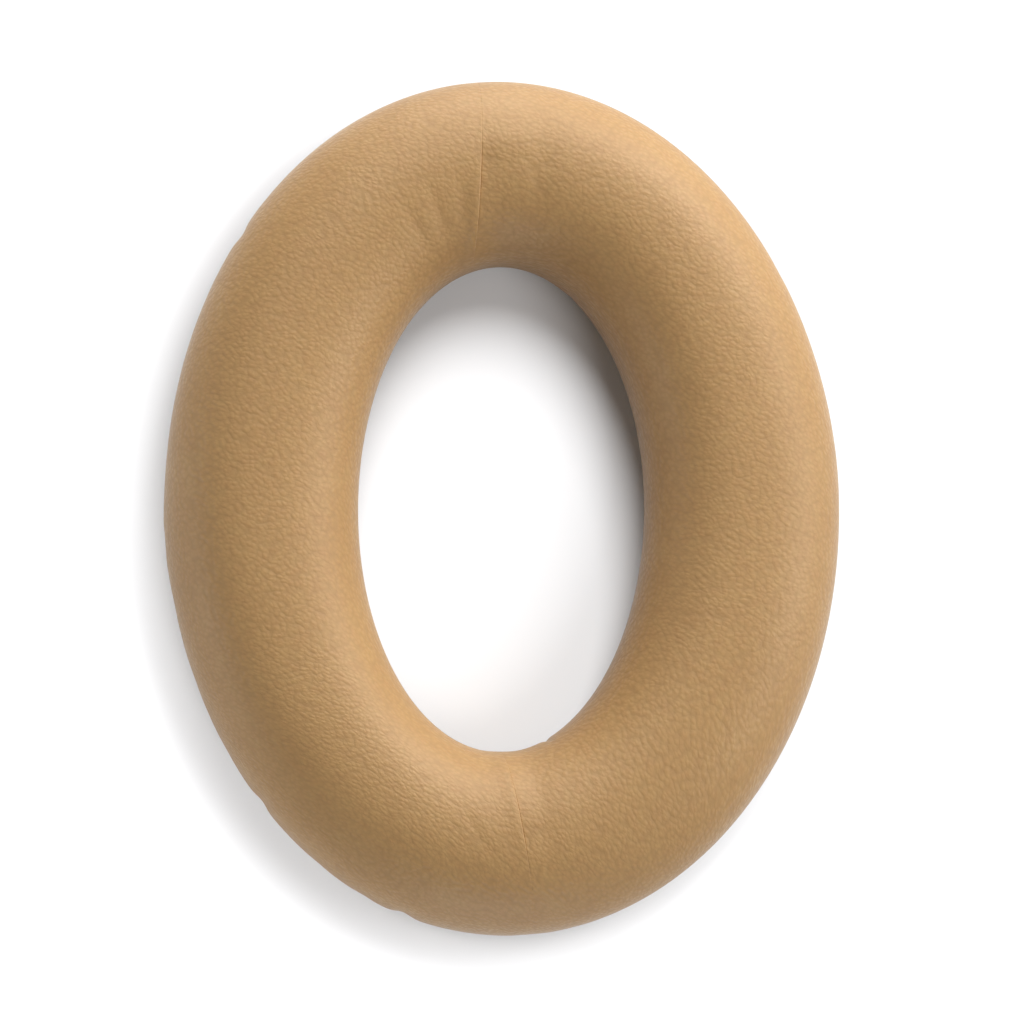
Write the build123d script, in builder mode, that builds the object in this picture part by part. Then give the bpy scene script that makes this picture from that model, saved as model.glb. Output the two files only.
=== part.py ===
from build123d import *
import os
from math import atan2, cos, degrees, hypot, radians, sin

os.makedirs("parts", exist_ok=True)

# Ear cushion of an around-ear headphone, in millimetres. X runs across the oval, Y along it, and +Z
# points from the ear cup towards the head. The origin is at the oval's centre, on the mounting ring's
# flat rear face.

# Outline and height of the whole cushion
outer_width = 77.2
outer_length = 98.0
opening_width = 33.2
opening_length = 56.0
thickness = 18.0

# The stack behind the cover, from the rear face up
ring_thickness = 1.6
tape_thickness = 0.2
lining_thickness = 0.6
tape_base = ring_thickness
lining_base = tape_base + tape_thickness
cover_base = lining_base + lining_thickness

# Cover: leatherette on a cloth backing, with a rounded crown and a rolled rear edge
sheet = 0.8
crown_outer_radius = 10.2
crown_inner_radius = 9.6
rolled_outer_radius = 4.0
rolled_inner_radius = 3.0
smallest_roll = 0.5
outer_margin = 8.0
inner_margin = 6.5

# Cross seams, each from a point in the opening to one outside the outline
top_seam = ((-3.7, 27.0), (-3.1, 50.0))
bottom_seam = ((-0.6, -27.0), (3.6, -50.0))
allowance_depth = 2.6

# Thread; each cross seam has this many rods of it round each half of the crown
thread = 0.4
rods_per_curve = 5
stitch_length = 2.2
stitch_pitch = 3.2
outer_stitch_inset = 5.1
inner_stitch_inset = 3.95

# Foam, and the width of the slots in it for the seam allowances
foam_clearance = 0.15
slot_width = 2 * sheet + 3 * thread

# Lining, tape and mounting ring: how far each lies inside the outline and outside the opening
lining_insets = (4.3, 3.3)
tape_insets = (7.0, 5.4)
ring_insets = (6.2, 4.8)

# Mounting ring details
tab_count = 10
tab_width = 7.0
tab_reach = 1.7
tab_thickness = 0.8
channel_width = 4.6
channel_depth = 0.5
channel_rib_count = 12
channel_rib = 1.0
notch_width = 5.0
notch_depth = 1.4
ring_edge_break = 0.3

# Cutting solids reach this far past the surfaces that they cut
overcut = 1.0


def oval_ring(outer_inset, opening_inset):
    """Sketch the ring between the outline moved in and the opening moved out."""
    Ellipse(outer_width / 2 - outer_inset, outer_length / 2 - outer_inset)
    Ellipse(opening_width / 2 + opening_inset, opening_length / 2 + opening_inset, mode=Mode.SUBTRACT)


def padded_form(inset):
    """The cushion's D-shaped ring with its whole surface moved in."""
    with BuildPart() as form:
        with BuildSketch(Plane.XY.offset(cover_base + inset)):
            oval_ring(inset, inset)
        extrude(amount=thickness - cover_base - 2 * inset)
        crown_inner, crown_outer = form.faces().sort_by(Axis.Z)[-1].edges().sort_by(SortBy.LENGTH)
        fillet(crown_outer, crown_outer_radius - inset)
        fillet(crown_inner, crown_inner_radius - inset)
        rolled_inner, rolled_outer = form.faces().sort_by(Axis.Z)[0].edges().sort_by(SortBy.LENGTH)
        fillet(rolled_outer, max(rolled_outer_radius - inset, smallest_roll))
        fillet(rolled_inner, max(rolled_inner_radius - inset, smallest_roll))
    return form.part


def seam_place(seam):
    """The middle of a cross seam, turned so that its local Y runs outwards along the seam."""
    (x_in, y_in), (x_out, y_out) = seam
    turn = degrees(atan2(y_out - y_in, x_out - x_in)) - 90
    return Location(((x_in + x_out) / 2, (y_in + y_out) / 2, thickness / 2), (0, 0, turn))


def seam_slab(width):
    """Two upright slabs of this width, one along each cross seam."""
    with BuildPart() as slab:
        for seam in (top_seam, bottom_seam):
            (x_in, y_in), (x_out, y_out) = seam
            with Locations(seam_place(seam)):
                Box(width, hypot(x_out - x_in, y_out - y_in), thickness + 2 * overcut)
    return slab.part


def side_region(side):
    """Everything on one side of the cross seams: -1 for the left, +1 for the right."""
    reach = outer_width
    with BuildPart() as region:
        with BuildSketch(Plane.XY.offset(-overcut)):
            with BuildLine():
                Polyline(
                    (side * reach, top_seam[1][1]),
                    top_seam[1],
                    top_seam[0],
                    bottom_seam[0],
                    bottom_seam[1],
                    (side * reach, bottom_seam[1][1]),
                    close=True,
                )
            make_face()
        extrude(amount=thickness + 2 * overcut)
    return region.part


def stitch_places(path, pitch):
    """Places at an even pitch along a closed path, each turned to follow it."""
    count = round(path.length / pitch)
    places = []
    for step in range(count):
        heading = path % (step / count)
        places.append(Location(path @ (step / count), (0, 0, degrees(atan2(heading.Y, heading.X)))))
    return places


def seam_stitches(seam):
    """Thread rods through both seam allowances of one cross seam, from the outer wall over the crown."""
    place = seam_place(seam)
    (x_in, y_in), (x_out, y_out) = seam
    middle = hypot(x_in + x_out, y_in + y_out) / 2
    depth = sheet + allowance_depth / 2
    outer_centre = outer_length / 2 - crown_outer_radius - middle
    inner_centre = opening_length / 2 + crown_inner_radius - middle
    places = []
    for rod in range(rods_per_curve):
        angle = 90 * (rod + 0.5) / rods_per_curve
        for centre, radius, way in (
            (outer_centre, crown_outer_radius, 1),
            (inner_centre, crown_inner_radius, -1),
        ):
            along = centre + way * (radius - depth) * cos(radians(angle))
            height = thickness - radius + (radius - depth) * sin(radians(angle)) - thickness / 2
            places.append(place * Location((0, along, height), (0, 90, 0)))
    with BuildPart() as stitches:
        with Locations(*places):
            Cylinder(thread / 2, 2 * sheet + thread)
    return stitches.part


def finish(piece, label):
    """Name a finished piece and write it."""
    piece.part.label = label
    export_step(piece.part, f"parts/{label}.step")
    print(label, len(piece.part.solids()), "solids,", round(piece.part.volume, 1), "mm3")


outer_form = padded_form(0)
cavity = padded_form(sheet)
foam_form = padded_form(sheet + foam_clearance)
allowance_floor = padded_form(sheet + allowance_depth)
top_stitches = seam_stitches(top_seam)
bottom_stitches = seam_stitches(bottom_seam)
slot_depth = allowance_depth + 2 * foam_clearance

# The seam allowances: the band just inside the skin, within one sheet of each cross seam
with BuildPart() as allowances:
    add(cavity)
    add(allowance_floor, mode=Mode.SUBTRACT)
    add(seam_slab(2 * sheet), mode=Mode.INTERSECT)

# Cover panels: a skin with its margins turned under, and an allowance turned in at each cross seam
for label, side in (("left_cover_panel", -1), ("right_cover_panel", 1)):
    with BuildPart() as panel:
        add(outer_form)
        add(cavity, mode=Mode.SUBTRACT)
        with BuildSketch(Plane.XY.offset(cover_base - overcut)):
            oval_ring(outer_margin, inner_margin)
        extrude(amount=overcut + sheet + allowance_depth, mode=Mode.SUBTRACT)
        add(allowances.part)
        add(side_region(side), mode=Mode.INTERSECT)
        add(top_stitches, mode=Mode.SUBTRACT)
        add(bottom_stitches, mode=Mode.SUBTRACT)
    finish(panel, label)

# Cross seam threads
for label, stitches in (("top_seam_thread", top_stitches), ("bottom_seam_thread", bottom_stitches)):
    with BuildPart() as seam_thread:
        add(stitches)
    finish(seam_thread, label)

# Foam ring, slotted to clear the seam allowances and their thread
with BuildPart() as slots:
    add(foam_form)
    add(padded_form(sheet + slot_depth), mode=Mode.SUBTRACT)
    add(seam_slab(slot_width), mode=Mode.INTERSECT)
with BuildPart() as foam_core:
    add(foam_form)
    add(slots.part, mode=Mode.SUBTRACT)
finish(foam_core, "foam_core")

# Cloth lining that closes the cover at the back
with BuildPart() as rear_lining:
    with BuildSketch(Plane.XY.offset(lining_base)):
        oval_ring(*lining_insets)
    extrude(amount=lining_thickness)
finish(rear_lining, "rear_lining")

# Edge threads: a row of stitches on the lining's rear face along each of its margins
outer_path = Edge.make_ellipse(outer_width / 2 - outer_stitch_inset, outer_length / 2 - outer_stitch_inset)
inner_path = Edge.make_ellipse(opening_width / 2 + inner_stitch_inset, opening_length / 2 + inner_stitch_inset)
for label, path in (("outer_edge_thread", outer_path), ("inner_edge_thread", inner_path)):
    with BuildPart() as edge_thread:
        with BuildSketch(Plane.XY.offset(lining_base)):
            with Locations(*stitch_places(path, stitch_pitch)):
                SlotOverall(stitch_length, thread)
        extrude(amount=-thread)
    finish(edge_thread, label)

# Double-sided tape between the lining and the mounting ring
with BuildPart() as adhesive_ring:
    with BuildSketch(Plane.XY.offset(tape_base)):
        oval_ring(*tape_insets)
    extrude(amount=tape_thickness)
finish(adhesive_ring, "adhesive_ring")

# Mounting ring: a flat plate with snap tabs outside, a ribbed channel in its rear face and a
# locating notch in its inner edge at the bottom end
ring_width = outer_width / 2 - ring_insets[0]
ring_length = outer_length / 2 - ring_insets[0]
ring_band = (outer_width - opening_width) / 2 - sum(ring_insets)
channel_insets = [inset + (ring_band - channel_width) / 2 for inset in ring_insets]
rim_path = Edge.make_ellipse(ring_width, ring_length)
middle_path = Edge.make_ellipse(ring_width - ring_band / 2, ring_length - ring_band / 2)
with BuildPart() as mounting_ring:
    with BuildSketch():
        oval_ring(*ring_insets)
    extrude(amount=ring_thickness)
    with BuildSketch():
        with Locations((0, -(opening_length / 2 + ring_insets[1]))):
            RectangleRounded(notch_width, 2 * notch_depth, notch_depth / 2)
    extrude(amount=ring_thickness, mode=Mode.SUBTRACT)
    chamfer(mounting_ring.edges().group_by(Axis.Z)[0], ring_edge_break)
    with BuildSketch():
        with Locations(*stitch_places(rim_path, rim_path.length / tab_count)):
            RectangleRounded(tab_width, 2 * tab_reach, tab_reach / 2)
    extrude(amount=tab_thickness)
    with BuildSketch():
        oval_ring(*channel_insets)
        with Locations(*stitch_places(middle_path, middle_path.length / channel_rib_count)):
            Rectangle(channel_rib, 2 * channel_width, mode=Mode.SUBTRACT)
    extrude(amount=channel_depth, mode=Mode.SUBTRACT)
finish(mounting_ring, "mounting_ring")
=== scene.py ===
import math

import bpy
import numpy as np
from mathutils import Matrix, Vector


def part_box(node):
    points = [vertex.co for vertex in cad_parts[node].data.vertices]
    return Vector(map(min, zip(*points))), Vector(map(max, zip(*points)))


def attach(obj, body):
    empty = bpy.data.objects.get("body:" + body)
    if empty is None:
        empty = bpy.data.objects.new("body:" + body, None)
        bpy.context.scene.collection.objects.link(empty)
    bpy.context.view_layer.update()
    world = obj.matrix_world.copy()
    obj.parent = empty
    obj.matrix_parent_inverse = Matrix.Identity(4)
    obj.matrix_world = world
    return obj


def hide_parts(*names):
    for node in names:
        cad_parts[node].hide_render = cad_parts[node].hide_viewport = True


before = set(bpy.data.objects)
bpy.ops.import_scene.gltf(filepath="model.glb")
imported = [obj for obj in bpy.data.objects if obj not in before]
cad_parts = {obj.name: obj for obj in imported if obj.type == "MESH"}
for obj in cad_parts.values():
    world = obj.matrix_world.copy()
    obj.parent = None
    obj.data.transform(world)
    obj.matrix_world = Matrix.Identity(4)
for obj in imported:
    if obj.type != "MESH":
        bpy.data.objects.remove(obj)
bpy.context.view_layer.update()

MM = 0.001

# ------------------------------------------------------------------ the cushion's shape, in millimetres
# The outline, the stack heights and the seams come from the frame; the opening is the CAD model's.
RIGHT_BOX = [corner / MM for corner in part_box("right_cover_panel")]
LINING_BOX = [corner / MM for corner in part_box("rear_lining")]
HALF_WIDTH = RIGHT_BOX[1].x
HALF_LENGTH = RIGHT_BOX[1].y
BASE = LINING_BOX[1].z
TOP = RIGHT_BOX[1].z
OPENING_HALF_WIDTH = 16.6
OPENING_HALF_LENGTH = 28.0
OUTLINE_PROUD = 0.1
OUTLINE_TILT = math.radians(1.3)
OUTLINE_SHIFT = (0.2, 0.2)
OPENING_TILT = math.radians(-0.9)
BAND = (HALF_WIDTH + HALF_LENGTH - OPENING_HALF_WIDTH - OPENING_HALF_LENGTH) / 2

# Section of the padded ring: a superellipse, rounder above its widest line than below it
WAIST_HEIGHT = BASE + 5.4
CROWN_POWER = 2.2
OUTER_ROLL_POWER = 3.8
INNER_ROLL_POWER = 3.2
OUTER_MARGIN = 8.0
INNER_MARGIN = 6.5
SKIN = 0.75

# The section is first drawn this finely, from the inner margin (degrees) over the crown to the outer one
SECTION_STEPS = 6000
SECTION_START = math.radians(265)
SECTION_END = math.radians(-85)

# Mean radius of the ring's middle line and of its outline, for lengths measured round them
MIDDLE_RADIUS = 33.0
OUTLINE_RADIUS = 42.0

# How finely the cover is meshed
ROWS_ALONG = 300
ROWS_ACROSS = 124
SEAM_ROWS = [0.0, 0.05, 0.11, 0.18, 0.26, 0.35, 0.45, 0.56, 0.68, 0.82, 0.98, 1.18, 1.42, 1.7]

# Stitch rods reach this far past the cross seam, so the seam lies inside their box by as much
ROD_REACH = 1.0

# The foam ring lies this far inside the cover's face, and deeper along the cross seams
FOAM_INSET = 1.1
FOAM_SLOT_DEPTH = 2.2
FOAM_SLOT_HALF_WIDTH = 1.5
FOAM_SLOT_FADE = (1.8, 0.9)
FOAM_ROWS = 220
FOAM_COLUMNS = 64

# The seam allowances turn in this far, within this distance of the seam
ALLOWANCE_DEPTH = 1.6
ALLOWANCE_WIDTH = 0.6

# The cover's inner face follows its outer one only up to this much outwards
INNER_LIFT_CAP = 0.1

# The lining's cut, outside the opening, and its mesh
LINING_INNER_INSET = 3.3
LINING_ROWS = 240
LINING_COLUMNS = 14
LINING_ROUNDING = 0.3

# Edge stitches: two plies twisted together, which dip into the cloth at both ends
STITCH_LENGTH = 2.5
STITCH_PLY = 0.13
STITCH_SPREAD = 0.8
STITCH_TWIST = 4.2
STITCH_DIP = 0.35
STITCH_STEPS = 13
STITCH_SIDES = 7

# Cloth simulation of the cover over its foam
SIM_ROWS = 168
SIM_COLUMNS = 40
SIM_SCALE = 0.01
SIM_FRAMES = 20
SIM_CAP = 0.45
SIM_SPARE = 0.025
SIM_SEAM_FADE = (0.2, 2.5)


def smooth(low, high, value):
    """0 at low, 1 at high and a soft rise in between; low may be the larger."""
    share = np.clip((value - low) / (high - low), 0, 1)
    return share * share * (3 - 2 * share)


def bell(distance, width):
    return np.exp(-(distance / width) ** 2)


# ------------------------------------------------------------------ base surface
def profile(angle):
    """The section at these angles: share of the band's width from the opening outwards, and height."""
    outer = np.cos(angle) > 0
    above = np.sin(angle) > 0
    power = np.where(above, CROWN_POWER, np.where(outer, OUTER_ROLL_POWER, INNER_ROLL_POWER))
    share = 0.5 + 0.5 * np.sign(np.cos(angle)) * np.abs(np.cos(angle)) ** (2 / power)
    rise = np.sign(np.sin(angle)) * np.abs(np.sin(angle)) ** (2 / power)
    return share, WAIST_HEIGHT + rise * np.where(above, TOP - WAIST_HEIGHT, WAIST_HEIGHT - BASE)


def evenly(count, share, height):
    """The same line with this many points, evenly spaced, and how far along it each one lies."""
    along = np.concatenate([[0], np.cumsum(np.hypot(np.diff(share) * BAND, np.diff(height)))])
    even = np.linspace(0, along[-1], count)
    return np.interp(even, along, share), np.interp(even, along, height), even


def section(count):
    """The cover's profile from its inner margin over the crown to its outer margin.

    Gives the share of the band's width, the height, and the distance along the sheet from the
    crown, positive outwards."""
    angle = np.linspace(SECTION_START, SECTION_END, SECTION_STEPS)
    share, height = profile(angle)
    turned_under = np.where(share > 0.5, share * BAND < BAND - OUTER_MARGIN, share * BAND > INNER_MARGIN)
    kept = (height > WAIST_HEIGHT) | ~turned_under
    share, height, even = evenly(count, share[kept], height[kept])
    return share, height, even - even[np.argmax(height)]


def foam_section(count):
    """The foam's closed profile, inside the cover all round."""
    share, height = profile(np.linspace(math.radians(270), math.radians(-90), SECTION_STEPS))
    share = 0.5 + (share - 0.5) * (1 - 2 * FOAM_INSET / BAND)
    middle = (TOP + BASE) / 2
    height = middle + (height - middle) * (1 - 2 * FOAM_INSET / (TOP - BASE))
    share, height, _ = evenly(count + 1, share, height)
    return share[:-1], height[:-1]


def oval(turn, half_width, half_length, tilt):
    """XY of a tilted ellipse."""
    x, y = half_width * np.cos(turn), half_length * np.sin(turn)
    return np.stack([x * math.cos(tilt) - y * math.sin(tilt), x * math.sin(tilt) + y * math.cos(tilt)], -1)


def ring_point(turn, share):
    """XY of a place on the ring: turn round the oval, and share of the band from opening to outline."""
    inner = oval(turn, OPENING_HALF_WIDTH, OPENING_HALF_LENGTH, OPENING_TILT)
    outer = oval(turn, HALF_WIDTH + OUTLINE_PROUD, HALF_LENGTH, OUTLINE_TILT) + np.array(OUTLINE_SHIFT)
    return inner + (outer - inner) * share[..., None]


def seam_ends(node):
    """Ends of a cross seam, opening side first, from the box of its thread."""
    low, high = [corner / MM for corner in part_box(node)]
    near, far = (low.y, high.y) if abs(low.y) < abs(high.y) else (high.y, low.y)
    return np.array([low.x + ROD_REACH, near]), np.array([high.x - ROD_REACH, far])


TOP_SEAM = seam_ends("top_seam_thread")
BOTTOM_SEAM = seam_ends("bottom_seam_thread")


def seam_turns(ends, quarter, share):
    """Where a cross seam crosses each share of the band, as turns round the oval."""
    start, end = ends
    line = (end - start) / np.linalg.norm(end - start)
    low = np.full(share.shape, quarter - 0.5)
    high = np.full(share.shape, quarter + 0.5)
    for _ in range(40):
        middle = (low + high) / 2
        offset = ring_point(middle, share) - start
        side = line[0] * offset[..., 1] - line[1] * offset[..., 0]
        before = side < 0
        low = np.where(before, middle, low)
        high = np.where(before, high, middle)
    return (low + high) / 2


SHARE, HEIGHT, SHEET_PLACE = section(ROWS_ACROSS)
TOP_TURNS = seam_turns(TOP_SEAM, math.pi / 2, SHARE)
BOTTOM_TURNS = seam_turns(BOTTOM_SEAM, 3 * math.pi / 2, SHARE)


def ring_turns(first, last):
    """Turns of every vertex of a panel that starts and ends on the two cross seams, finer near them."""
    length = abs(last.mean() - first.mean()) * MIDDLE_RADIUS
    near = np.array(SEAM_ROWS) / length
    far = np.linspace(near[-1], 1 - near[-1], ROWS_ALONG)
    rows = np.concatenate([near[:-1], far, 1 - near[:-1][::-1]])
    return first + (last - first) * rows[:, None]


def normals(points):
    """Outward unit normals of a grid of points."""
    along = np.gradient(points, axis=0)
    across = np.gradient(points, axis=1)
    normal = np.cross(across, along)
    return normal / np.linalg.norm(normal, axis=-1, keepdims=True)


def base_points(turn, share, height):
    xy = ring_point(turn, np.broadcast_to(share, turn.shape))
    return np.concatenate([xy, np.broadcast_to(height, turn.shape)[..., None]], -1)


# ------------------------------------------------------------------ relief of the cover
def line_distance(xy, ends):
    """Distance from a straight stroke, and the share of the way along it."""
    start, end = np.array(ends[0]), np.array(ends[1])
    way = end - start
    share = np.clip(((xy - start) @ way) / (way @ way), 0, 1)
    return np.linalg.norm(xy - start - share[..., None] * way, axis=-1), share


# Soft folds in the crown: two ends, half width and depth
FOLDS = [
    ((3.2, 32.5), (3.9, 44.5), 1.7, 0.12),
    ((3.0, -29.5), (4.8, -43.5), 1.0, 0.05),
    ((-4.9, 30.8), (-6.2, 37.5), 0.7, 0.06),
    ((-7.0, 29.5), (-9.6, 36.0), 0.8, 0.08),
    ((-9.2, 28.0), (-12.4, 33.5), 0.8, 0.07),
]

# Pleats that climb the outer wall: degrees round the oval, depth and how far up they reach (0 to 1)
TALL_PLEATS = [(140, 0.25, 0.8), (33, 0.2, 0.7), (223, 0.25, 0.8), (251, 0.25, 0.8)]


# Small gathers: ranges of their depth, their reach and the degrees from one to the next
PLEAT_DEPTHS = (0.15, 0.4)
PLEAT_REACHES = (-0.1, 0.2)
PLEAT_SPACING = (7, 13)
PLEAT_WIDTH = 1.1
PLEAT_FOOT = 1.5
PLEAT_CLIMB = 7.5


def pleats():
    """Degrees, depth and reach of each gather on the rolled outer edge."""
    random = np.random.default_rng(7)
    places = []
    degree = 0.0
    while degree < 356:
        places.append((degree, random.uniform(*PLEAT_DEPTHS), random.uniform(*PLEAT_REACHES)))
        degree += random.uniform(*PLEAT_SPACING)
    return places + TALL_PLEATS


# A cross seam: how deep its groove is, how far one side stands proud of it and how deep the other
# side's broad valley is
BOTTOM_SEAM_SHOWN = 0.8
SEAM_GROOVE = 0.12
SEAM_HIDDEN = 0.012
SEAM_LIP = 0.06
SEAM_LIP_PLACE = 0.5
SEAM_LIP_WIDTH = 0.6
SEAM_VALLEY = 0.3
SEAM_VALLEY_WIDTH = 4.2

# Shares of the band's width between which a seam's relief appears, and fades again towards the outline
SEAM_APPEARS = (0.02, 0.1)
SEAM_FADES = (0.64, 0.46)

# Small nicks in the wall of the opening: place, half width and depth
NICKS = [((5.0, -26.4), 0.4, 0.26), ((8.4, 24.9), 0.6, 0.08)]


def relief(points, turn, seam_gap, seam_shown, proud):
    """How far each point of the cover stands out from the base surface."""
    xy = points[..., :2]
    upper = smooth(WAIST_HEIGHT - 1, WAIST_HEIGHT + 3, points[..., 2])
    lift = np.zeros(turn.shape)
    for start, end, width, depth in FOLDS:
        distance, share = line_distance(xy, (start, end))
        tapered = smooth(0, 0.25, share + 0.1) * smooth(1.1, 0.7, share)
        lift -= depth * bell(distance, width) * upper * tapered
    for place, width, depth in NICKS:
        lift -= depth * bell(np.linalg.norm(xy - np.array(place), axis=-1), width)
    outer_roll = np.broadcast_to(smooth(0.55, 0.9, SHARE), turn.shape)
    for degree, depth, reach in pleats():
        away = (turn - math.radians(degree) + math.pi) % (2 * math.pi) - math.pi
        top = BASE + PLEAT_FOOT + PLEAT_CLIMB * reach
        fade = smooth(top + 3.0, top - 2.0, points[..., 2])
        lift -= depth * bell(away * OUTLINE_RADIUS, PLEAT_WIDTH) * fade * outer_roll
    if proud:
        lift += SEAM_LIP * seam_shown * bell(seam_gap - SEAM_LIP_PLACE, SEAM_LIP_WIDTH)
    else:
        lift -= SEAM_VALLEY * seam_shown * bell(seam_gap, SEAM_VALLEY_WIDTH)
    radius = SEAM_HIDDEN + SEAM_GROOVE * seam_shown
    inside = np.clip(1 - seam_gap / radius, 0, 1)
    lift -= radius * (1 - np.sqrt(1 - inside ** 2))
    return lift


# ------------------------------------------------------------------ cloth simulation
def simulated_lift():
    """How far a cloth cover, blown out against its sewn margins, stands out from the base surface.

    The whole cover is one coarse tube, ten times its real size, closed underneath and held at its
    margins. The rolled edges have spare cloth, which gathers. Gives a grid over turn and section."""
    turn = np.linspace(0, 2 * math.pi, SIM_ROWS, endpoint=False)[:, None] + np.zeros(SIM_COLUMNS)
    share, height, _ = section(SIM_COLUMNS)
    base = base_points(turn, share, height)
    index = np.arange(SIM_ROWS * SIM_COLUMNS).reshape(SIM_ROWS, SIM_COLUMNS)
    faces = wrapped_faces(SIM_ROWS, SIM_COLUMNS)
    tube = make_object("cover_cloth", base.reshape(-1, 3) * SIM_SCALE / MM, faces, None)
    held = tube.vertex_groups.new(name="held")
    spare = tube.vertex_groups.new(name="spare")
    for column in range(SIM_COLUMNS):
        rows = index[:, column].tolist()
        at_margin = min(column, SIM_COLUMNS - 1 - column) < 2
        upper = upper_share(height[column])
        held.add(rows, 1.0 if at_margin else float(0.12 * smooth(0.0, 1.0, upper)), "REPLACE")
        spare.add(rows, float(1 - upper), "REPLACE")
    cloth = tube.modifiers.new("Cloth", "CLOTH")
    settings = cloth.settings
    settings.quality = 6
    settings.mass = 0.3
    settings.tension_stiffness = settings.compression_stiffness = 25
    settings.shear_stiffness = 12
    settings.bending_stiffness = 0.6
    settings.use_pressure = True
    settings.uniform_pressure_force = 4.0
    settings.vertex_group_mass = "held"
    settings.pin_stiffness = 1.0
    settings.vertex_group_shrink = "spare"
    settings.shrink_min = 0.0
    settings.shrink_max = -SIM_SPARE
    settings.effector_weights.gravity = 0.0
    cloth.collision_settings.use_collision = False
    cloth.point_cache.frame_start = 1
    cloth.point_cache.frame_end = SIM_FRAMES
    scene = bpy.context.scene
    for frame_number in range(1, SIM_FRAMES + 1):
        scene.frame_set(frame_number)
    shaped = tube.evaluated_get(bpy.context.evaluated_depsgraph_get()).to_mesh()
    points = np.empty(len(shaped.vertices) * 3)
    shaped.vertices.foreach_get("co", points)
    points = points.reshape(base.shape) / SIM_SCALE
    scene.frame_set(1)
    mesh = tube.data
    bpy.data.objects.remove(tube)
    bpy.data.meshes.remove(mesh)
    wrapped = np.concatenate([base[-1:], base, base[:1]])
    lift = ((points - base) * normals(wrapped)[1:-1]).sum(-1)
    lift -= lift.mean(axis=0)
    return np.clip(lift, -SIM_CAP, SIM_CAP)


def upper_share(height):
    return smooth(WAIST_HEIGHT - 2, WAIST_HEIGHT + 4, height)


def cubic_weights(part):
    """Weights of the four grid points around a place this far between the middle two."""
    return [
        (-part + 2 * part ** 2 - part ** 3) / 2,
        (2 - 5 * part ** 2 + 3 * part ** 3) / 2,
        (part + 4 * part ** 2 - 3 * part ** 3) / 2,
        (part ** 3 - part ** 2) / 2,
    ]


def read_grid(grid, turn, columns):
    """The grid's value at each turn round the oval, for a section with this many columns."""
    row = (turn / (2 * math.pi) * SIM_ROWS) % SIM_ROWS
    column = np.linspace(0, SIM_COLUMNS - 1, columns) + np.zeros(turn.shape)
    row_floor, column_floor = np.floor(row).astype(int), np.floor(column).astype(int)
    total = np.zeros(turn.shape)
    for i, row_weight in enumerate(cubic_weights(row - row_floor)):
        for j, column_weight in enumerate(cubic_weights(column - column_floor)):
            place = np.clip(column_floor + j - 1, 0, SIM_COLUMNS - 1)
            total += row_weight * column_weight * grid[(row_floor + i - 1) % SIM_ROWS, place]
    return total


# ------------------------------------------------------------------ meshes
def grid_faces(rows, columns, offset=0, flip=False):
    index = np.arange(rows * columns).reshape(rows, columns) + offset
    faces = np.stack([index[:-1, :-1], index[:-1, 1:], index[1:, 1:], index[1:, :-1]], -1).reshape(-1, 4)
    return faces[:, ::-1] if flip else faces


def make_object(name, vertices, faces, material, attributes=None):
    """A smooth-shaded mesh; its faces are an array, or a list where their lengths differ."""
    mesh = bpy.data.meshes.new(name)
    mesh.from_pydata((vertices * MM).tolist(), [], faces if isinstance(faces, list) else faces.tolist())
    for key, values in (attributes or {}).items():
        if values.ndim == 1:
            mesh.attributes.new(key, "FLOAT", "POINT").data.foreach_set("value", values.astype(np.float32))
        else:
            layer = mesh.attributes.new(key, "FLOAT_VECTOR", "POINT")
            layer.data.foreach_set("vector", values.astype(np.float32).ravel())
    mesh.validate()
    mesh.polygons.foreach_set("use_smooth", np.ones(len(mesh.polygons), dtype=bool))
    if material is not None:
        mesh.materials.append(material)
    mesh.update()
    obj = bpy.data.objects.new(name, mesh)
    bpy.context.scene.collection.objects.link(obj)
    return obj


# The grain's lie on the flat pattern: its slope, how much steeper it gets towards the bottom end, between
# which two places along the oval, and how slowly its third coordinate varies
GRAIN_SLOPE = math.radians(25)
GRAIN_STEEPER = 0.3
GRAIN_TURNS = (-15, -42)
GRAIN_DRIFT = 0.3


def grain_place(turn, sheet_place):
    """Flat-pattern coordinates: along the wrinkles, across them, and a third that varies slowly."""
    middle = ring_point(turn, np.full(turn.shape, 0.5))
    outward = ring_point(turn, np.ones(turn.shape)) - ring_point(turn, np.zeros(turn.shape))
    outward /= np.linalg.norm(outward, axis=-1, keepdims=True)
    flat = middle + outward * np.broadcast_to(sheet_place, turn.shape)[..., None]
    steeper = GRAIN_STEEPER * smooth(*GRAIN_TURNS, flat[..., 1])
    along = flat[..., 0] * math.cos(GRAIN_SLOPE) - flat[..., 1] * math.sin(GRAIN_SLOPE)
    across = flat[..., 0] * (math.sin(GRAIN_SLOPE) + steeper) + flat[..., 1] * math.cos(GRAIN_SLOPE)
    return np.stack([along, across, GRAIN_DRIFT * flat[..., 0]], -1)


def wrapped_faces(rows, columns):
    """Faces of a grid that closes on itself both ways, as a ring of closed sections."""
    index = np.arange(rows * columns).reshape(rows, columns)
    beside, below = np.roll(index, -1, axis=1), np.roll(index, -1, axis=0)
    return np.stack([index, beside, np.roll(beside, -1, axis=0), below], -1).reshape(-1, 4)


def seam_gaps(points, *seams):
    """Distance of each point from the nearest of these seams, which are lines across the section."""
    return np.min([np.linalg.norm(points - seam, axis=-1) for seam in seams], axis=0)


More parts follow.
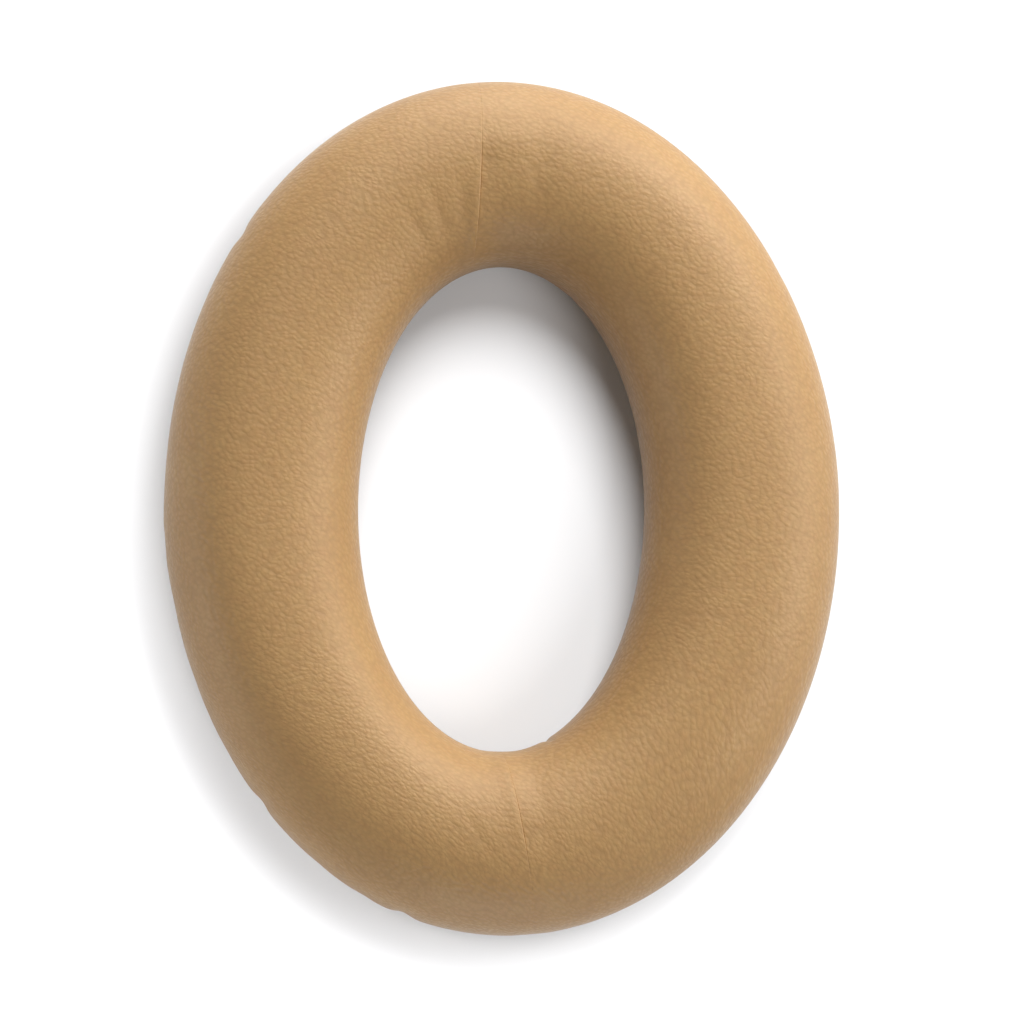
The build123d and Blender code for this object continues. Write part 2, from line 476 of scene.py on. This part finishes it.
def cover_panel(name, first, last, material, lift_grid, proud):
    """One leatherette panel: its outer face, its inner face and the rims that close them."""
    turn = ring_turns(first, last)
    base = base_points(turn, SHARE, HEIGHT)
    normal = normals(base)
    gap = seam_gaps(base, base[0], base[-1])
    shown = np.broadcast_to(smooth(*SEAM_FADES, SHARE) * smooth(*SEAM_APPEARS, SHARE), turn.shape)
    shown = shown * np.where(base[..., 1] > 0, 1.0, BOTTOM_SEAM_SHOWN)
    lift = relief(base, turn, gap, shown, proud)
    if lift_grid is not None:
        lift += read_grid(lift_grid, turn, ROWS_ACROSS) * smooth(*SIM_SEAM_FADE, gap)
    outer = base + normal * lift[..., None]
    inner_lift = np.minimum(lift, INNER_LIFT_CAP) - SKIN - ALLOWANCE_DEPTH * (gap < ALLOWANCE_WIDTH)
    inner = base + normal * inner_lift[..., None]
    rows, columns = turn.shape
    count = rows * columns
    faces = [grid_faces(rows, columns), grid_faces(rows, columns, count, flip=True)]
    border = np.concatenate([
        np.arange(columns), np.arange(1, rows) * columns + columns - 1,
        (rows - 1) * columns + np.arange(columns - 2, -1, -1), np.arange(rows - 2, 0, -1) * columns])
    following = np.roll(border, -1)
    faces.append(np.stack([following, border, border + count, following + count], -1))
    vertices = np.concatenate([outer.reshape(-1, 3), inner.reshape(-1, 3)])
    grain = grain_place(turn, SHEET_PLACE).reshape(-1, 3)
    return make_object(name, vertices, np.concatenate(faces), material, {"grain": np.tile(grain, (2, 1))})


def foam_ring(name, material):
    """The foam: a closed ring inside the cover, slotted along the cross seams."""
    share, height = foam_section(FOAM_COLUMNS)
    turn = np.linspace(0, 2 * math.pi, FOAM_ROWS, endpoint=False)[:, None] + np.zeros(FOAM_COLUMNS)
    points = base_points(turn, share, height)
    seams = [base_points(turns[None, :], SHARE, HEIGHT)[0] for turns in (TOP_TURNS, BOTTOM_TURNS)]
    gap = np.full(turn.shape, np.inf)
    for seam in seams:
        for place in seam[::3]:
            gap = np.minimum(gap, np.linalg.norm(points - place, axis=-1))
    inwards = np.array([0.5, (TOP + BASE) / 2]) - np.stack([share, height], -1)
    inwards /= np.hypot(inwards[:, 0] * BAND, inwards[:, 1])[:, None]
    slot = FOAM_SLOT_DEPTH * smooth(*[FOAM_SLOT_HALF_WIDTH + fade for fade in FOAM_SLOT_FADE], gap)
    points = base_points(turn, share + inwards[:, 0] * slot, height + inwards[:, 1] * slot)
    return make_object(name, points.reshape(-1, 3), wrapped_faces(FOAM_ROWS, FOAM_COLUMNS), material)


def lining_ring(name, material):
    """The cloth lining: a flat cut ring with rounded raw edges."""
    low, high = LINING_BOX[0].z, LINING_BOX[1].z
    half_width, half_length = LINING_BOX[1].x, LINING_BOX[1].y
    band = half_width - (OPENING_HALF_WIDTH + LINING_INNER_INSET)
    across = np.concatenate([np.linspace(0, 1, LINING_COLUMNS), np.linspace(1, 0, LINING_COLUMNS)])
    upper = np.arange(len(across)) < LINING_COLUMNS
    turn = np.linspace(0, 2 * math.pi, LINING_ROWS, endpoint=False)[:, None] + np.zeros(len(across))
    inner = oval(turn, half_width - band, OPENING_HALF_LENGTH + LINING_INNER_INSET, 0)
    xy = inner + (oval(turn, half_width, half_length, 0) - inner) * across[:, None]
    edge_gap = band * np.minimum(across, 1 - across)
    near_edge = np.clip(1 - edge_gap / LINING_ROUNDING, 0, 1)
    rounding = 0.5 * (high - low) * (1 - np.sqrt(1 - near_edge ** 2))
    height = np.where(upper, high - rounding, low + rounding)
    points = np.concatenate([xy, np.broadcast_to(height, turn.shape)[..., None]], -1)
    return make_object(name, points.reshape(-1, 3), wrapped_faces(LINING_ROWS, len(across)), material)


def islands(node):
    """The separate solids of a node: the middle and the long direction of each, in millimetres."""
    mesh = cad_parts[node].data
    vertices = np.empty(len(mesh.vertices) * 3)
    mesh.vertices.foreach_get("co", vertices)
    vertices = vertices.reshape(-1, 3) / MM
    edges = np.empty(len(mesh.edges) * 2, dtype=int)
    mesh.edges.foreach_get("vertices", edges)
    edges = edges.reshape(-1, 2)
    label = np.arange(len(vertices))
    while True:
        lowest = np.minimum(label[edges[:, 0]], label[edges[:, 1]])
        following = label.copy()
        np.minimum.at(following, edges[:, 0], lowest)
        np.minimum.at(following, edges[:, 1], lowest)
        if (following == label).all():
            break
        label = following
    found = []
    for key in np.unique(label):
        part = vertices[label == key]
        middle = (part.min(axis=0) + part.max(axis=0)) / 2
        spread = np.linalg.svd(part - part.mean(axis=0), full_matrices=False)[2][0]
        found.append((middle, spread))
    return found


def stitch_row(name, node, material):
    """Two-ply stitches in the places of a node's short prisms, each dipping into the cloth at its ends."""
    step = np.linspace(-1, 1, STITCH_STEPS)
    rim = np.linspace(0, 2 * math.pi, STITCH_SIDES, endpoint=False)
    vertices, faces, twists = [], [], []
    for middle, way in islands(node):
        side = np.cross((0, 0, 1), way)
        for ply in (0, math.pi):
            twist = ply + step * STITCH_TWIST
            spread = STITCH_PLY * STITCH_SPREAD
            dip = STITCH_DIP * np.abs(step) ** 4
            line = (middle + np.outer(step * STITCH_LENGTH / 2, way)
                    + np.outer(np.cos(twist) * spread, side)
                    + np.outer(np.sin(twist) * spread + dip, (0, 0, 1)))
            thick = STITCH_PLY * np.sqrt(1 - 0.6 * step ** 6)
            around = (np.cos(rim)[None, :, None] * side + np.sin(rim)[None, :, None] * np.array([0, 0, 1.0]))
            tube = line[:, None, :] + thick[:, None, None] * around
            start = len(vertices) * STITCH_STEPS * STITCH_SIDES
            index = np.arange(STITCH_STEPS * STITCH_SIDES).reshape(STITCH_STEPS, STITCH_SIDES) + start
            beside = np.roll(index, -1, axis=1)
            faces += np.stack([index[:-1], beside[:-1], beside[1:], index[1:]], -1).reshape(-1, 4).tolist()
            faces += [index[0][::-1].tolist(), index[-1].tolist()]
            vertices.append(tube.reshape(-1, 3))
    return make_object(name, np.concatenate(vertices), faces, material)


# ------------------------------------------------------------------ materials
class Nodes:
    """A material's node tree with short calls for what every finish here needs."""

    def __init__(self, name):
        self.material = bpy.data.materials.new(name)
        self.material.use_nodes = True
        self.tree = self.material.node_tree
        self.tree.nodes.clear()
        output = self.tree.nodes.new("ShaderNodeOutputMaterial")
        self.shader = self.tree.nodes.new("ShaderNodeBsdfPrincipled")
        self.tree.links.new(self.shader.outputs[0], output.inputs[0])

    def node(self, kind, **settings):
        made = self.tree.nodes.new("ShaderNode" + kind)
        for key, value in settings.items():
            setattr(made, key, value)
        return made

    def feed(self, source, target):
        self.tree.links.new(source, target)

    def attribute(self, name):
        return self.node("Attribute", attribute_name=name).outputs["Vector"]

    def position(self):
        """The object's own coordinates, in metres."""
        return self.node("TexCoord").outputs["Object"]

    def scaled(self, vector, scale):
        made = self.node("VectorMath", operation="MULTIPLY")
        self.feed(vector, made.inputs[0])
        made.inputs[1].default_value = scale if hasattr(scale, "__len__") else (scale,) * 3
        return made.outputs[0]

    def noise(self, vector, scale, detail=2.0, rough=0.5, output="Fac"):
        made = self.node("TexNoise")
        made.inputs["Scale"].default_value = scale
        made.inputs["Detail"].default_value = detail
        made.inputs["Roughness"].default_value = rough
        self.feed(vector, made.inputs["Vector"])
        return made.outputs[output]

    def voronoi(self, vector, scale, feature="F1", smoothness=0.5):
        made = self.node("TexVoronoi", feature=feature)
        made.inputs["Scale"].default_value = scale
        if feature == "SMOOTH_F1":
            made.inputs["Smoothness"].default_value = smoothness
        self.feed(vector, made.inputs["Vector"])
        return made.outputs["Distance"]

    def warped(self, vector, scale, amount):
        """The coordinates pushed about by a noise, so that a pattern loses its regularity."""
        push = self.node("VectorMath", operation="SUBTRACT")
        self.feed(self.noise(vector, scale, output="Color"), push.inputs[0])
        push.inputs[1].default_value = (0.5, 0.5, 0.5)
        added = self.node("VectorMath", operation="MULTIPLY_ADD")
        self.feed(push.outputs[0], added.inputs[0])
        added.inputs[1].default_value = (amount,) * 3
        self.feed(vector, added.inputs[2])
        return added.outputs[0]

    def math(self, operation, first, second=None, third=None):
        made = self.node("Math", operation=operation)
        for socket, value in zip(made.inputs, (first, second, third)):
            if isinstance(value, (int, float)):
                socket.default_value = value
            elif value is not None:
                self.feed(value, socket)
        return made.outputs[0]

    def ramp(self, value, stops):
        """A colour ramp; each stop is a place and a grey or a colour."""
        made = self.node("ValToRGB")
        while len(made.color_ramp.elements) < len(stops):
            made.color_ramp.elements.new(0.5)
        for element, (place, colour) in zip(made.color_ramp.elements, stops):
            element.position = place
            element.color = (*colour, 1) if hasattr(colour, "__len__") else (colour,) * 3 + (1,)
        self.feed(value, made.inputs[0])
        return made.outputs[0]

    def mix(self, factor, first, second, blend="MIX"):
        made = self.node("Mix", data_type="RGBA", blend_type=blend)
        for name, value in (("Factor", factor), ("A", first), ("B", second)):
            socket = [s for s in made.inputs if s.name == name and s.enabled][0]
            if isinstance(value, (int, float)):
                socket.default_value = value
            elif isinstance(value, tuple):
                socket.default_value = (*value, 1)
            else:
                self.feed(value, socket)
        return [s for s in made.outputs if s.enabled][0]

    def bump(self, height, depth_mm):
        made = self.node("Bump")
        made.inputs["Strength"].default_value = 1.0
        made.inputs["Distance"].default_value = depth_mm * MM
        self.feed(height, made.inputs["Height"])
        return made.outputs[0]

    def finish(self, colour=None, roughness=None, normal=None, **values):
        """Link what varies, and set what doesn't straight on the shader."""
        for name, source in (("Base Color", colour), ("Roughness", roughness), ("Normal", normal)):
            if source is None:
                continue
            if isinstance(source, (int, float, tuple)):
                value = (*source, 1) if isinstance(source, tuple) else source
                self.shader.inputs[name].default_value = value
            else:
                self.feed(source, self.shader.inputs[name])
        for name, value in values.items():
            self.shader.inputs[name.replace("_", " ")].default_value = value
        return self.material


def leatherette():
    """Coated leatherette: short pebbled wrinkles, cells of about 0.6 by 0.5 mm, and slow patches of tone,
    with painted shade in the wrinkle valleys and a painted highlight on the ridges.
    """
    nodes = Nodes("leatherette")
    flat = nodes.attribute("grain")
    grain = nodes.warped(nodes.warped(flat, 0.9, 0.3), 0.22, 0.8)
    pebbles = nodes.voronoi(nodes.scaled(grain, (1.6, 2.1, 1.0)), 1.0, feature="SMOOTH_F1", smoothness=0.3)
    creases = nodes.noise(nodes.scaled(grain, (2.1, 2.9, 1.0)), 1.0, detail=2.0, rough=0.6)
    pores = nodes.noise(grain, 9.0, detail=1.0)
    height = nodes.math("MULTIPLY_ADD", pebbles, -1.1, nodes.math("MULTIPLY", creases, 0.7))
    height = nodes.math("MULTIPLY_ADD", pores, 0.12, height)
    normal = nodes.bump(height, 0.05)
    patches = nodes.noise(flat, 0.11, detail=3.0, rough=0.6)
    specks = nodes.noise(flat, 0.75, detail=2.0, rough=0.7)
    tan = nodes.ramp(patches, [(0.3, (0.402, 0.231, 0.083)), (0.7, (0.426, 0.252, 0.094))])
    warm = nodes.mix(nodes.ramp(specks, [(0.35, 0.0), (0.7, 0.55)]), tan, (0.395, 0.212, 0.079))
    # Painted shade and highlight: the colour follows the bump height, darker in the grain's valleys and a
    # little lighter on its ridges
    painted_grain_shade = nodes.ramp(nodes.math("ADD", height, 0.6), [(0.1, 0.9), (0.75, 1.03)])
    colour = nodes.mix(1.0, warm, painted_grain_shade, blend="MULTIPLY")
    rough = nodes.ramp(nodes.math("MULTIPLY_ADD", patches, 0.4, nodes.math("MULTIPLY", height, 0.6)),
                       [(0.1, 0.56), (0.6, 0.42)])
    return nodes.finish(
        colour, rough, normal, Sheen_Weight=0.22, Sheen_Roughness=0.35, Specular_IOR_Level=0.55)


def knitted_lining():
    """Black warp-knit backing cloth: columns of small loops, 0.7 mm apart."""
    nodes = Nodes("lining_cloth")
    place = nodes.scaled(nodes.position(), 1 / MM)
    loops = nodes.voronoi(nodes.scaled(place, (1.5, 2.0, 1.0)), 1.0)
    fuzz = nodes.noise(place, 5.0, detail=3.0)
    height = nodes.math("MULTIPLY_ADD", fuzz, 0.4, nodes.math("MULTIPLY", loops, -1.0))
    colour = nodes.ramp(
        nodes.math("ADD", height, 0.7),
        [(0.0, (0.012, 0.012, 0.013)), (1.0, (0.05, 0.05, 0.054))],
    )
    rough = nodes.ramp(fuzz, [(0.3, 0.86), (0.7, 0.97)])
    return nodes.finish(colour, rough, nodes.bump(height, 0.12), Sheen_Weight=0.3, Sheen_Roughness=0.5)


def open_foam():
    """Slow-recovery foam: fine open cells in a dark grey."""
    nodes = Nodes("foam")
    place = nodes.scaled(nodes.position(), 1 / MM)
    cells = nodes.voronoi(place, 1.8)
    pits = nodes.noise(place, 0.5, detail=3.0)
    height = nodes.math("MULTIPLY_ADD", pits, 0.5, cells)
    colour = nodes.ramp(cells, [(0.0, (0.022, 0.022, 0.024)), (0.5, (0.068, 0.068, 0.072))])
    rough = nodes.ramp(pits, [(0.3, 0.9), (0.7, 0.98)])
    return nodes.finish(colour, rough, nodes.bump(height, 0.16), Specular_IOR_Level=0.2)


def twisted_thread(name, dark, light):
    """Polyester thread: fine filaments that catch the light."""
    nodes = Nodes(name)
    place = nodes.scaled(nodes.position(), 1 / MM)
    fibres = nodes.noise(nodes.scaled(place, (9.0, 9.0, 30.0)), 1.0, detail=2.0)
    colour = nodes.ramp(fibres, [(0.3, dark), (0.7, light)])
    rough = nodes.ramp(fibres, [(0.3, 0.62), (0.7, 0.45)])
    return nodes.finish(colour, rough, nodes.bump(fibres, 0.03), Sheen_Weight=0.25, Sheen_Roughness=0.35)


def milky_tape():
    """Double-sided tape: a milky film with faint creases and trapped air."""
    nodes = Nodes("tape")
    place = nodes.scaled(nodes.position(), 1 / MM)
    haze = nodes.noise(place, 0.25, detail=4.0)
    bubbles = nodes.voronoi(place, 0.9, feature="SMOOTH_F1", smoothness=0.2)
    height = nodes.math("MULTIPLY_ADD", bubbles, 0.3, haze)
    colour = nodes.ramp(haze, [(0.3, (0.66, 0.63, 0.55)), (0.7, (0.76, 0.74, 0.67))])
    rough = nodes.ramp(bubbles, [(0.1, 0.3), (0.7, 0.48)])
    return nodes.finish(colour, rough, nodes.bump(height, 0.03), Specular_IOR_Level=0.5)


def moulded_plastic():
    """Black moulded plastic: fine spark texture, slightly polished where it has been handled."""
    nodes = Nodes("moulded_plastic")
    place = nodes.scaled(nodes.position(), 1 / MM)
    spark = nodes.noise(place, 4.5, detail=3.0, rough=0.65)
    wear = nodes.noise(place, 0.08, detail=4.0, rough=0.6)
    colour = nodes.ramp(nodes.math("MULTIPLY_ADD", wear, 0.6, nodes.math("MULTIPLY", spark, 0.4)),
                        [(0.3, (0.013, 0.013, 0.014)), (0.7, (0.026, 0.026, 0.028))])
    rough = nodes.ramp(wear, [(0.35, 0.42), (0.65, 0.58)])
    return nodes.finish(colour, rough, nodes.bump(spark, 0.035), Specular_IOR_Level=0.5)


# ------------------------------------------------------------------ the pieces
LEATHERETTE = leatherette()
LINING_CLOTH = knitted_lining()
FOAM = open_foam()
SEAM_THREAD = twisted_thread("seam_thread", (0.09, 0.048, 0.016), (0.15, 0.084, 0.03))
EDGE_THREAD = twisted_thread("edge_thread", (0.06, 0.034, 0.012), (0.11, 0.064, 0.024))

PUFF = simulated_lift()


def stand_in(piece, node):
    """The piece takes the place of a CAD node."""
    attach(piece, "root")
    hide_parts(node)
    return piece


left = cover_panel("left_cover", TOP_TURNS, BOTTOM_TURNS, LEATHERETTE, PUFF, proud=True)
right = cover_panel("right_cover", BOTTOM_TURNS - 2 * math.pi, TOP_TURNS, LEATHERETTE, PUFF, proud=False)
stand_in(left, "left_cover_panel")
stand_in(right, "right_cover_panel")
stand_in(foam_ring("foam_ring", FOAM), "foam_core")

# The lining is cut as an oval ring, whose flat area is that of its outline less that of its opening
lining = stand_in(lining_ring("lining", LINING_CLOTH), "rear_lining")

outer_stitches = stitch_row("outer_edge_stitches", "outer_edge_thread", EDGE_THREAD)
stand_in(outer_stitches, "outer_edge_thread")
inner_stitches = stitch_row("inner_edge_stitches", "inner_edge_thread", EDGE_THREAD)
stand_in(inner_stitches, "inner_edge_thread")

CAD_FINISHES = {
    "top_seam_thread": SEAM_THREAD,
    "bottom_seam_thread": SEAM_THREAD,
    "adhesive_ring": milky_tape(),
    "mounting_ring": moulded_plastic(),
}
for node, finish in CAD_FINISHES.items():
    for material_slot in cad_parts[node].material_slots:
        material_slot.material = finish


# ------------------------------------------------------------------ floor, light and camera
# The floor is two patches that meet out of sight, under the mounting ring, so that each has its own light
FLOOR_MEETING = (26.9, 37.8)
FLOOR_REACH = 1500.0
FLOOR_CORNERS = 128

# Softboxes are discs at this distance from the origin and this wide, in metres
SOFTBOX_DISTANCE = 0.9
SOFTBOX_SIZE = 0.5
WORLD_STRENGTH = 0.15

# The camera's distance, in millimetres
CAMERA_DISTANCE = 600.0


def add_floor(name, outline, opening=None):
    """A patch of white floor in an oval outline, with or without an oval opening; half sizes in mm."""
    turn = np.linspace(0, 2 * math.pi, FLOOR_CORNERS, endpoint=False)
    rims = [oval(turn, *half_sizes, 0) for half_sizes in (outline, opening) if half_sizes]
    corners = np.concatenate(rims)
    corners = np.concatenate([corners, np.zeros((len(corners), 1))], -1)
    index = np.arange(FLOOR_CORNERS)
    following = np.roll(index, -1)
    faces = [index.tolist()]
    if opening:
        faces = np.stack([index, following, following + FLOOR_CORNERS, index + FLOOR_CORNERS], -1)
    floor = make_object(name, corners, faces, FLOOR_WHITE)
    floor.visible_diffuse = False  # a bright floor would fill the cushion's shaded walls
    return floor


def lights_only(lamp, *receivers):
    """The lamp lights these objects and no others; everything still casts its shadow."""
    lit = bpy.data.collections.new(lamp.name + "_lights")
    for receiver in receivers:
        lit.objects.link(receiver)
    lamp.light_linking.receiver_collection = lit


def add_softbox(name, azimuth, elevation, power):
    """An area light that looks at the cushion from a direction in degrees."""
    around, up = math.radians(azimuth), math.radians(elevation)
    light = bpy.data.lights.new(name, "AREA")
    light.shape = "DISK"
    light.size = SOFTBOX_SIZE
    light.energy = power
    lamp = bpy.data.objects.new(name, light)
    away = Vector((math.cos(around) * math.cos(up), math.sin(around) * math.cos(up), math.sin(up)))
    lamp.location = away * SOFTBOX_DISTANCE
    lamp.rotation_mode = "QUATERNION"
    lamp.rotation_quaternion = away.to_track_quat("Z", "Y")
    bpy.context.scene.collection.objects.link(lamp)
    return lamp


def add_world(strength):
    world = bpy.data.worlds.new("studio")
    world.use_nodes = True
    background = world.node_tree.nodes["Background"]
    background.inputs[0].default_value = (1.0, 1.0, 1.0, 1)
    background.inputs[1].default_value = strength
    bpy.context.scene.world = world


def add_camera(lean, azimuth, seen_width, target):
    """Above the cushion, leaning a little from the vertical; angles in degrees, the rest in millimetres."""
    camera = bpy.data.cameras.new("camera")
    camera.sensor_width = 36.0
    camera.lens = camera.sensor_width * CAMERA_DISTANCE / seen_width
    camera.clip_start = 0.01
    lean, azimuth = math.radians(lean), math.radians(azimuth)
    back = Vector((math.sin(lean) * math.cos(azimuth), math.sin(lean) * math.sin(azimuth), math.cos(lean)))
    obj = bpy.data.objects.new("camera", camera)
    obj.location = (Vector(target) + back * CAMERA_DISTANCE) * MM
    side = Vector((0, 1, 0)).cross(back).normalized()
    obj.rotation_mode = "QUATERNION"
    obj.rotation_quaternion = Matrix((side, back.cross(side), back)).transposed().to_quaternion()
    bpy.context.scene.collection.objects.link(obj)
    bpy.context.scene.camera = obj


# Softboxes, each an azimuth, an elevation and a power. The cushion has a key from behind on the right,
# low strips that brighten its outer edge, and two soft fills from above.
KEY = (50, 25, 6.0)
EDGE_STRIPS = [(90, 5, 6.0), (190, 5, 3.5), (270, 5, 4.0)]
FILLS = [(90, 50, 3.0), (0, 30, 4.0)]

# The floor inside the ring has one light from behind and a weaker one from the front. The floor outside
# it has a high light on the key's side and an even ring of four, which keep its contact shadow narrow.
INSIDE_LIGHTS = [(80, 55, 8.0), (315, 50, 3.0)]
OUTSIDE_KEY = (45, 60, 3.5)
OUTSIDE_LIGHTS = [OUTSIDE_KEY] + [(azimuth, 60, 2.7) for azimuth in (0, 90, 180, 270)]

FLOOR_WHITE = Nodes("floor_white").finish((0.9, 0.91, 0.93), 0.6, Specular_IOR_Level=0.2)
floor_inside = add_floor("floor_inside", FLOOR_MEETING)
floor_outside = add_floor("floor_outside", (FLOOR_REACH, FLOOR_REACH), FLOOR_MEETING)
cushion = [obj for obj in bpy.data.objects if obj.type == "MESH" and not obj.name.startswith("floor")]
add_world(WORLD_STRENGTH)
for purpose, receivers, lights in (
    ("cushion", cushion, [KEY] + EDGE_STRIPS + FILLS),
    ("inside", [floor_inside], INSIDE_LIGHTS),
    ("outside", [floor_outside], OUTSIDE_LIGHTS),
):
    for azimuth, elevation, power in lights:
        lamp = add_softbox(f"{purpose}_light_{azimuth}_{elevation}", azimuth, elevation, power)
        lights_only(lamp, *receivers)
add_camera(lean=9.0, azimuth=225, seen_width=117.2, target=(1.2, -0.5, WAIST_HEIGHT))
bpy.context.scene.view_settings.view_transform = "Standard"
